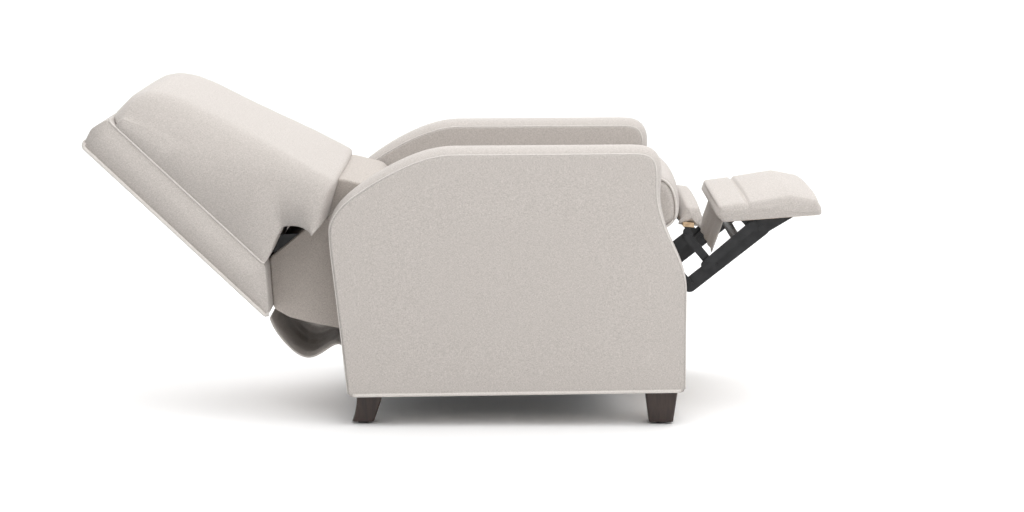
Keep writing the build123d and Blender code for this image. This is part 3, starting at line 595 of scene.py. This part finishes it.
# ---------------------------------------------------------------- seat and footrests
def build_seat_cushion():
    """Seat cushion with a crowned top and front and welts along its side seams."""
    low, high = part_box("seat_cushion")
    loop = smoothed(side_loop("seat_cushion", 1, 320), 4)
    normals = outward(loop)
    top_side = ramp(normals[:, 1] - normals[:, 0] * 0.8, -0.1, 0.5)

    def crown(x, ring):
        return 0.013 * (1 - abs(x / high.x) ** 2.5) * top_side

    stations = rounded_stations(low.x, high.x, 0.02)
    cushion = shell("seat_cover", loop, stations, LINEN, crown)
    finish_soft(cushion, "seat", ["seat_cushion"])
    edge = loop - normals * 0.004
    keep = edge[(edge[:, 0] < low.y + 0.2)]
    for side in (-1, 1):
        path = [(side * (high.x - 0.003), y, z) for y, z in keep]
        trim(tube(f"seat_welt_{'right' if side < 0 else 'left'}", path, 0.003, LINEN_LIT_WELT), "seat")


def build_mid_footrest():
    low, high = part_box("mid_footrest_pad")
    loop = smoothed(side_loop("mid_footrest_pad", 1, 140), 3)
    stations = rounded_stations(low.x, high.x, 0.010, 16, 4)

    def crown(x, ring):
        return 0.004 * (1 - abs(x / high.x) ** 3) * ramp(ring[:, 1], low.z + 0.01, high.z - 0.01)

    pad = shell("mid_footrest_cover", loop, stations, LINEN, crown, puff=0.002)
    finish_soft(pad, "mid_link", ["mid_footrest_pad"])


def build_footrest():
    """Main footrest: a rear roll, a seam and the long panel, over its board."""
    low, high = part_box("footrest_pad")
    loop = smoothed(side_loop("footrest_pad", 1, 300), 3)
    seam_y = high.y - 0.072
    normals = outward(loop)
    upper = ramp(normals[:, 1], 0.2, 0.7)
    groove = 0.006 * np.exp(-((loop[:, 0] - seam_y) / 0.0045) ** 2) * upper
    along = np.clip((seam_y - loop[:, 0]) / (seam_y - low.y), 0, 1)
    swell = 0.006 * upper * np.sin(along * math.pi)

    def crown(x, ring):
        across = 1 - abs(x / high.x) ** 3
        return (0.007 * upper + swell) * across - groove

    stations = rounded_stations(low.x, high.x, 0.012, 18, 5)
    pad = shell("footrest_cover", loop, stations, LINEN, crown, puff=0.002)
    finish_soft(pad, "footrest", ["footrest_pad"])


def build_apron():
    """Cloth flap that hangs from the rear edge of the main footrest."""
    low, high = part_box("footrest_apron")
    loop = side_loop("footrest_apron", 1, 120)
    rings = []
    for x in np.linspace(low.x, high.x, 31):
        share = x / high.x
        ring = loop.copy()
        hang = ramp(-ring[:, 1], -high.z, -low.z)
        ring[:, 0] += hang * 0.0016 * math.sin(12 * share + 0.8)
        rings.append(np.column_stack([np.full(len(ring), x), ring]))
    apron = ring_mesh("footrest_flap", rings, LINEN, "flat")
    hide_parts("footrest_apron")
    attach(apron, "footrest")
    hang = Vector((0, high.y - low.y, low.z - high.z))
    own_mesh(apron)


# ---------------------------------------------------------------- studio
def build_studio():
    """Pale floor, soft light and the camera beside the chair."""
    bpy.ops.mesh.primitive_plane_add(size=60, location=(0, 0, 0))
    floor = bpy.context.object
    floor.name = "floor"
    material, tree, shader = new_material("studio_floor")
    shader.inputs["Base Color"].default_value = (0.93, 0.93, 0.93, 1)
    shader.inputs["Roughness"].default_value = 0.6
    floor.data.materials.append(material)
    bpy.ops.mesh.primitive_plane_add(size=60, location=(14, 0, 0),
                                     rotation=(0, math.radians(90), 0))
    backdrop = bpy.context.object
    backdrop.name = "backdrop"
    material, tree, shader = new_material("studio_backdrop")
    shader.inputs["Base Color"].default_value = (1, 1, 1, 1)
    shader.inputs["Emission Color"].default_value = (1, 1, 1, 1)
    shader.inputs["Emission Strength"].default_value = 1.0
    backdrop.data.materials.append(material)
    world = bpy.data.worlds.new("studio")
    bpy.context.scene.world = world
    world.use_nodes = True
    world.node_tree.nodes["Background"].inputs["Color"].default_value = (1, 1, 1, 1)
    world.node_tree.nodes["Background"].inputs["Strength"].default_value = 0.72
    for name, place, size, power in (("key", (-1.5, -1.2, 4.0), 4.0, 138.0),
                                     ("fill", (-5.0, 2.0, 2.2), 3.0, 6.0),
                                     ("rim", (3.5, 1.0, 3.0), 3.0, 40.0)):
        data = bpy.data.lights.new(name, "AREA")
        data.size = size
        data.energy = power
        lamp = bpy.data.objects.new(name, data)
        lamp.location = place
        aim = Vector((0, -0.1, 0.4)) - Vector(place)
        lamp.rotation_euler = aim.to_track_quat("-Z", "Y").to_euler()
        bpy.context.scene.collection.objects.link(lamp)
    data = bpy.data.cameras.new("camera")
    data.lens = 94.3
    data.clip_end = 100
    camera = bpy.data.objects.new("camera", data)
    camera.location = (-6.4175, -0.121, 1.288)
    camera.rotation_euler = (math.radians(81.59), 0, math.radians(-90))
    bpy.context.scene.collection.objects.link(camera)
    bpy.context.scene.camera = camera
    bpy.context.scene.view_settings.view_transform = "Standard"


dress_frame()
for arm_side, arm_name in ((-1, "right"), (1, "left")):
    build_arm(arm_side, arm_name)
build_back_cushion()
build_back_shell()
build_lower_back()
build_sling()
build_seat_cushion()
build_mid_footrest()
build_footrest()
build_apron()
build_studio()
